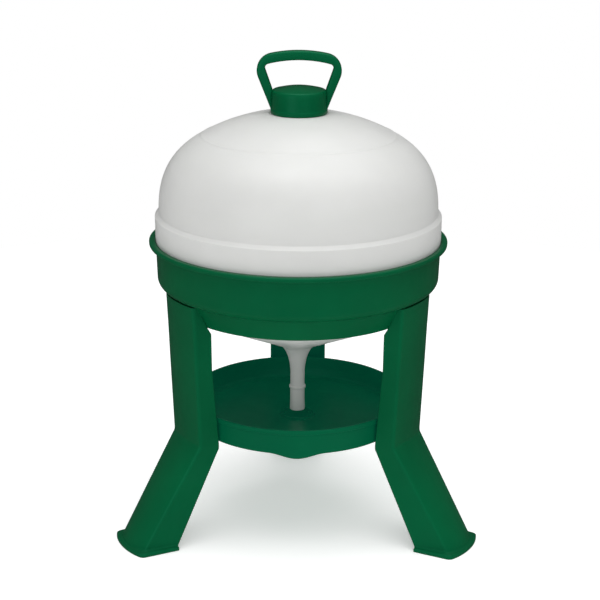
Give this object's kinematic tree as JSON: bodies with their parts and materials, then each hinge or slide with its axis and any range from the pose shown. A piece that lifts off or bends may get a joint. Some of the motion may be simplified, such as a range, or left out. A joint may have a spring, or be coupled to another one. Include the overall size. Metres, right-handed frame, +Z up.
{
  "type": "poultry drinker",
  "caption": "Top-filled siphon drinker for poultry: a domed water tank with a screw cap and carrying handle stands in a ring on splayed legs, over a round drinking tray.",
  "frame": {"origin": "on the ground, at the middle of the drinker's bounding box seen from above; the tank's axis stands at x = 0, y = -0.0355", "axes": "+Z up; -Y is the front, which faces the gap between the two front legs; +X is the right of a viewer in front looking along +Y"},
  "size_m": [0.515, 0.493, 0.682],
  "materials": {
    "ring_green": "satin injection-moulded green plastic",
    "leg_green": "satin injection-moulded green plastic",
    "tray_green": "satin injection-moulded green plastic",
    "cap_green": "satin injection-moulded green plastic",
    "tank_white": "translucent white blow-moulded plastic, satin",
    "sleeve_white": "translucent white moulded plastic, satin",
    "disc_white": "white moulded plastic",
    "gasket_rubber": "black rubber",
    "seal_rubber": "black rubber"
  },
  "bodies": {
    "stand": {"support_ring": "ring_green", "leg_front_left": "leg_green", "leg_front_right": "leg_green", "leg_rear": "leg_green", "drinking_tray": "tray_green"},
    "tank": {"tank": "tank_white", "port_disc": "disc_white", "outlet_seal": "seal_rubber"},
    "outlet_sleeve": {"outlet_sleeve": "sleeve_white"},
    "cap_gasket": {"cap_gasket": "gasket_rubber"},
    "filler_cap": {"filler_cap": "cap_green"}
  },
  "joints": [
    {"name": "tank_lift", "type": "slide", "parent": "stand", "child": "tank", "axis": [0, 0, 1], "range_m": [0, 0.27]},
    {"name": "cap_rise", "type": "slide", "parent": "tank", "child": "cap_gasket", "axis": [0, 0, 1], "range_m": [0, 0.0105]},
    {"name": "cap_turn", "type": "hinge", "parent": "cap_gasket", "child": "filler_cap", "pos_m": [0, -0.0355, 0.61], "axis": [0, 0, 1], "range_deg": [0, 630]},
    {"name": "outlet_turn", "type": "hinge", "parent": "tank", "child": "outlet_sleeve", "pos_m": [0, -0.0355, 0.175], "axis": [0, 0, 1], "range_deg": [0, 90]}
  ],
  "couplings": [
    {"joint": "cap_rise", "follows": "cap_turn", "m_per_rad": 0.00095493}
  ]
}
